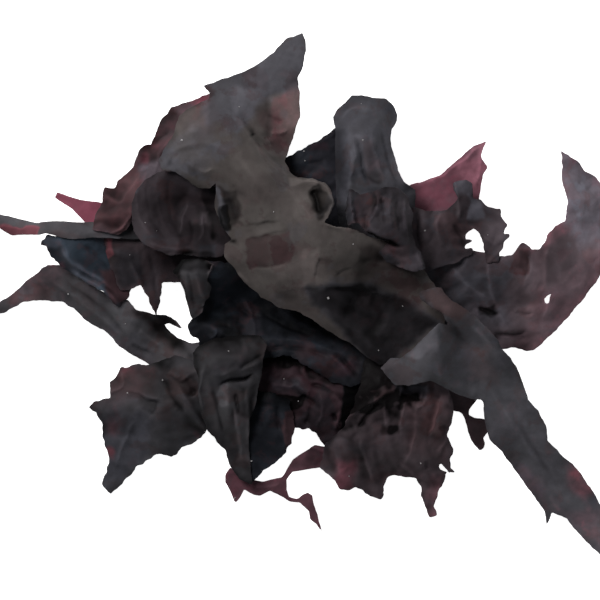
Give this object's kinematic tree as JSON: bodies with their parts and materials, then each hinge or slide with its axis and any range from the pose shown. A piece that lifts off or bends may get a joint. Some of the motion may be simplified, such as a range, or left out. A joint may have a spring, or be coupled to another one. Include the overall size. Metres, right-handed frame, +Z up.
{
  "type": "whole leaf dulse",
  "caption": "Loose clump of dried whole leaf dulse: dark leathery fronds heaped in overlapping layers, with thin rose margins, torn tips and a long ribbon at one corner.",
  "frame": {"origin": "middle of the clump's plan, on the surface that it lies on", "axes": "+Z up out of the heap, +X to the right and +Y away as it lies in the picture, which looks straight down"},
  "size_m": [0.252, 0.212, 0.0498],
  "materials": {
    "brown_grey_blade": "soft dry sheen",
    "slate_blade": "soft dry sheen",
    "black_brown_blade": "soft dry sheen",
    "black_teal_blade": "soft dry sheen",
    "mauve_brown_blade": "soft dry sheen",
    "rose_blade": "thin, lets light through",
    "crimson_blade": "thin, lets light through"
  },
  "bodies": {
    "root": {"lacy_strand": "crimson_blade", "rose_spike": "rose_blade", "rose_wing": "rose_blade", "right_frond": "mauve_brown_blade", "small_lobe": "black_brown_blade", "left_fork": "slate_blade", "mauve_underblade": "black_brown_blade", "teal_blade": "black_teal_blade", "left_ribbon": "slate_blade", "shoulder_blade": "mauve_brown_blade", "bowl_frond": "black_brown_blade", "back_blade": "black_teal_blade", "club_frond": "slate_blade", "frill_frond": "black_brown_blade", "centre_blade": "black_teal_blade", "grey_tongue": "slate_blade", "brown_lobe": "crimson_blade", "dark_leaf": "black_teal_blade", "lower_left_blade": "slate_blade", "pleated_drape": "slate_blade", "lower_right_frond": "mauve_brown_blade", "main_blade": "brown_grey_blade", "crumple_knot": "black_brown_blade", "long_ribbon": "slate_blade"}
  },
  "joints": []
}
